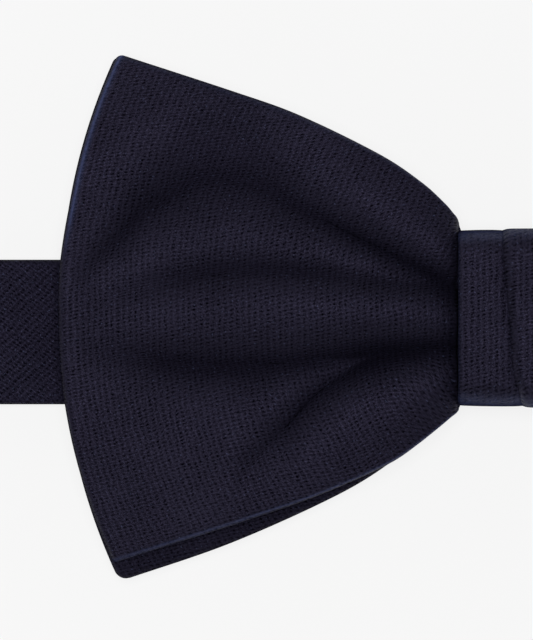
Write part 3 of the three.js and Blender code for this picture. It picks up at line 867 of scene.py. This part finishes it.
def make_left_strap():
    run = [
        (-FOLD_END, STRAP_Z), (-60, STRAP_Z), (EYE_X - 12, STRAP_Z), (EYE_X - 6, STRAP_Z),
        *half_turn(EYE_X + 0.1, HARDWARE_Z, LOOP_R, 1, True),
        (EYE_X - 2.5, STRAP_Z + 2.6), (EYE_X - 5, STRAP_Z + BAND_THICK + 0.3),
        (EYE_X - 8, STRAP_Z + BAND_THICK + 0.15), (EYE_X - 12, STRAP_Z + BAND_THICK + 0.15),
    ]
    strap = cloth(add_strap("strap_left", run, high=True), "neckband_left_strap", "left_strap")
    inside = [(2 - FOLD_END, STRAP_Z), (-60, STRAP_Z), (EYE_X - 7, STRAP_Z)]
    lining = strap_lining("strap_left_lining", inside, "neckband_left_interlining")
    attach(lining, "left_strap")
    rows = []
    y = BAND_SHIFT + np.linspace(-7.4, 7.4, 140)
    wave = np.sin(y * 4.4)
    zigzag = 0.35 * np.sign(wave) * np.abs(wave) ** 0.5
    z = 2 * BAND_THICK + 0.22 + 0.06 * np.cos(y * 8.8)
    for x in (EYE_X - 9.1, EYE_X - 7.7):
        rows.append(tube(np.stack([x + zigzag, y, z], -1), 0.15, 8))
    tack = add_mesh("eye_tack", *join(rows), thread)
    dress(tack, "eye_bartack", "left_strap")


LEFT_BAR = SLIDER_X - SLIDER_PITCH
RIGHT_BAR = SLIDER_X + SLIDER_PITCH
HOOK_LOOP_X = HOOK_X + 0.3

# The right strap, from the fold: through the slider, round the hook and back to the slider.
TAIL = [(RIGHT_BAR + 1.8, 1.2), (RIGHT_BAR + 4, STRAP_Z), (95, STRAP_Z), (FOLD_END, STRAP_Z)]
OVER_SLIDER = [
    (LEFT_BAR, UNDER_BAR_Z), (SLIDER_X - 5.3, UNDER_BAR_Z + 0.15), (SLIDER_X - 4.2, SLIDER_Z + 0.1),
    (SLIDER_X - 3.2, SLIDER_Z + 1.6), (SLIDER_X - 1.7, SLIDER_Z + 2.65),
    *half_turn(SLIDER_X, SLIDER_Z, OVER_LOOP_R, 1, False, 7, 0.0, 0.5),
    (SLIDER_X + 4.6, UNDER_BAR_Z + 0.2), (RIGHT_BAR, UNDER_BAR_Z), (RIGHT_BAR + 1.8, 1.2),
]
TO_HOOK = [
    (HOOK_LOOP_X, HARDWARE_Z + LOOP_R), (HOOK_X + 4, 3.2), (HOOK_X + 9, UNDER_BAR_Z + 0.1),
    (LEFT_BAR - 2, UNDER_BAR_Z), (LEFT_BAR, UNDER_BAR_Z),
]
ROUND_HOOK = [
    (HOOK_LOOP_X, HARDWARE_Z + LOOP_R),
    *half_turn(HOOK_X, HARDWARE_Z, LOOP_R, -1, False)[::-1],
    (HOOK_LOOP_X, STRAP_Z),
]
BACK_TO_SLIDER = [
    (HOOK_LOOP_X, STRAP_Z), (HOOK_X + 6, STRAP_Z), (LEFT_BAR - 2, STRAP_Z), (LEFT_BAR + 1.4, STRAP_Z),
    (SLIDER_X - 3.6, STRAP_Z + 0.5), (SLIDER_X - 1.6, SLIDER_Z - BAR_LOOP_R - 0.08),
    *half_turn(SLIDER_X, SLIDER_Z, BAR_LOOP_R, 1, True),
    (SLIDER_X - 1.2, SLIDER_Z + BAR_LOOP_R - 0.15),
]
TAIL_LINING = [(RIGHT_BAR + 6, STRAP_Z), (95, STRAP_Z), (FOLD_END - 2, STRAP_Z)]


def make_right_strap():
    loop = cloth(add_strap("adjuster_over", OVER_SLIDER, step_mm=0.35), "adjuster_strap", "slider")
    upper = cloth(add_strap("adjuster_upper", TO_HOOK, step_mm=0.4))
    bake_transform(upper)
    strap = cloth(add_strap("strap_right", TAIL, step_mm=0.5), "neckband_right_strap")
    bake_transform(strap)
    bend = add_strap("adjuster_round_hook", ROUND_HOOK, step_mm=0.2, smooth=False)
    cloth(bend, "adjuster_turn", "hook_end")
    returned = add_strap("adjuster_back", BACK_TO_SLIDER, high=True, step_mm=0.35)
    cloth(returned, "adjuster_return")
    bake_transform(returned)
    lining = strap_lining("strap_right_lining", TAIL_LINING, "neckband_right_interlining")
    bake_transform(lining)


# ---------------------------------------------------------------- metal fittings


def wire_loop(x0, x1, z, corner=1.2):
    """A closed path round a rectangle with rounded corners."""
    line = []
    for cx, cy, start in ((x1, 1, 0), (x0, 1, 90), (x0, -1, 180), (x1, -1, 270)):
        mx = cx - corner if cx == x1 else cx + corner
        my = cy * (FRAME_HALF_Y - corner)
        for turn in np.radians(start + np.linspace(0, 90, 9)):
            line.append((mx + corner * math.cos(turn), BAND_SHIFT + my + corner * math.sin(turn), z))
    return line


def fitting(name, body, mesh):
    piece = add_mesh(f"{name}_metal", *mesh, plate)
    dress(piece, name, body)


def make_fittings():
    fitting("eye", "eye", tube(wire_loop(EYE_X, EYE_X + EYE_LENGTH, HARDWARE_Z), WIRE_R, 16, True))
    y = BAND_SHIFT + np.linspace(-FRAME_HALF_Y, FRAME_HALF_Y, 30)
    bar = np.stack([np.full(30, SLIDER_X), y, np.full(30, SLIDER_Z)], -1)
    rim = wire_loop(SLIDER_X - SLIDER_PITCH, SLIDER_X + SLIDER_PITCH, SLIDER_Z)
    fitting("slider", "slider", join([tube(rim, WIRE_R, 16, True), tube(bar, WIRE_R, 16)]))

    left, bend = HOOK_X - HOOK_FRAME, HOOK_X - HOOK_REACH
    tongue = [
        (left + 0.2, HARDWARE_Z), (left - 0.8, HARDWARE_Z + 0.25), (left - 2, HARDWARE_Z + 1.1),
        (bend + 0.8, HARDWARE_Z + 1.1), *half_turn(bend, HARDWARE_Z, 1.1, -1, False),
        (bend + 2, HARDWARE_Z - 1.1), (bend + 3, HARDWARE_Z - 0.95),
    ]
    sheet = add_strap("hook_tongue", tongue, True, True, thick=1.0, material=plate, step_mm=0.2, turn=0,
                      half_width=lambda x: 4.5 - 0.9 * (1 - step(x, bend - 1, left)))
    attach(sheet, "hook")
    fitting("hook", "hook", tube(wire_loop(left, HOOK_X, HARDWARE_Z), WIRE_R, 16, True))


# ---------------------------------------------------------------- the studio


def make_world():
    """A room with pale walls and a dim ceiling."""
    world = bpy.data.worlds.new("studio")
    bpy.context.scene.world = world
    world.use_nodes = True
    tree = world.node_tree
    shine = tree.nodes["Background"]
    place = tree.nodes.new("ShaderNodeTexCoord")
    split = tree.nodes.new("ShaderNodeSeparateXYZ")
    rise = tree.nodes.new("ShaderNodeMapRange")
    rise.interpolation_type = "SMOOTHSTEP"
    for key, given in (("From Min", 0.05), ("From Max", 0.75), ("To Min", 0.84), ("To Max", 0.08)):
        rise.inputs[key].default_value = given
    tree.links.new(place.outputs["Generated"], split.inputs[0])
    tree.links.new(split.outputs["Z"], rise.inputs["Value"])
    tree.links.new(rise.outputs["Result"], shine.inputs["Strength"])
    shine.inputs["Color"].default_value = (1.0, 1.0, 1.0, 1)


def make_studio():
    make_world()

    bpy.ops.mesh.primitive_plane_add(size=6, location=(0, 0, -0.0001))
    floor = bpy.context.object
    floor.name = "floor"
    n = Nodes("paper")
    grain = n.noise(n.add("ShaderNodeTexCoord").outputs["Object"], 60)
    n.set(n.shader, "Base Color", n.mix(grain, (0.19, 0.19, 0.19, 1), (0.2, 0.2, 0.2, 1)))
    n.shader.inputs["Roughness"].default_value = 1.0
    n.shader.inputs["Specular IOR Level"].default_value = 0.0
    n.shader.inputs["Emission Color"].default_value = (1, 1, 1, 1)
    n.shader.inputs["Emission Strength"].default_value = 0.81
    floor.data.materials.append(n.material)

    lamp("key", (-0.045, 0.03, 0.95), 0.3, 3.95)


def lamp(name, place, size, power):
    light = bpy.data.lights.new(name, "AREA")
    light.shape = "DISK"
    light.size = size
    light.energy = power
    obj = bpy.data.objects.new(name, light)
    obj.location = place
    obj.rotation_euler = (Vector((-0.03, 0, 0)) - Vector(place)).to_track_quat("-Z", "Y").to_euler()
    bpy.context.collection.objects.link(obj)


def make_camera():
    """Straight down on the left half of the bow, nearly as far as the middle of the knot."""
    camera = bpy.data.cameras.new("camera")
    camera.sensor_width = 36
    distance, seen = 0.6, 78.37 * MM
    camera.lens = 36 * (distance - 0.0125) / seen
    camera.clip_start = 0.01
    obj = bpy.data.objects.new("camera", camera)
    obj.location = (-34.7 * MM, (-0.245 + SHIFT_Y) * MM, distance)
    bpy.context.collection.objects.link(obj)
    bpy.context.scene.camera = obj


bpy.context.scene.view_settings.view_transform = "Standard"
make_front()
make_back(-1, "left")
make_back(1, "right")
make_knot()
make_knot_lining()
make_waist_thread()
make_knot_stitches()
make_band()
make_left_strap()
make_right_strap()
make_fittings()
make_studio()
make_camera()
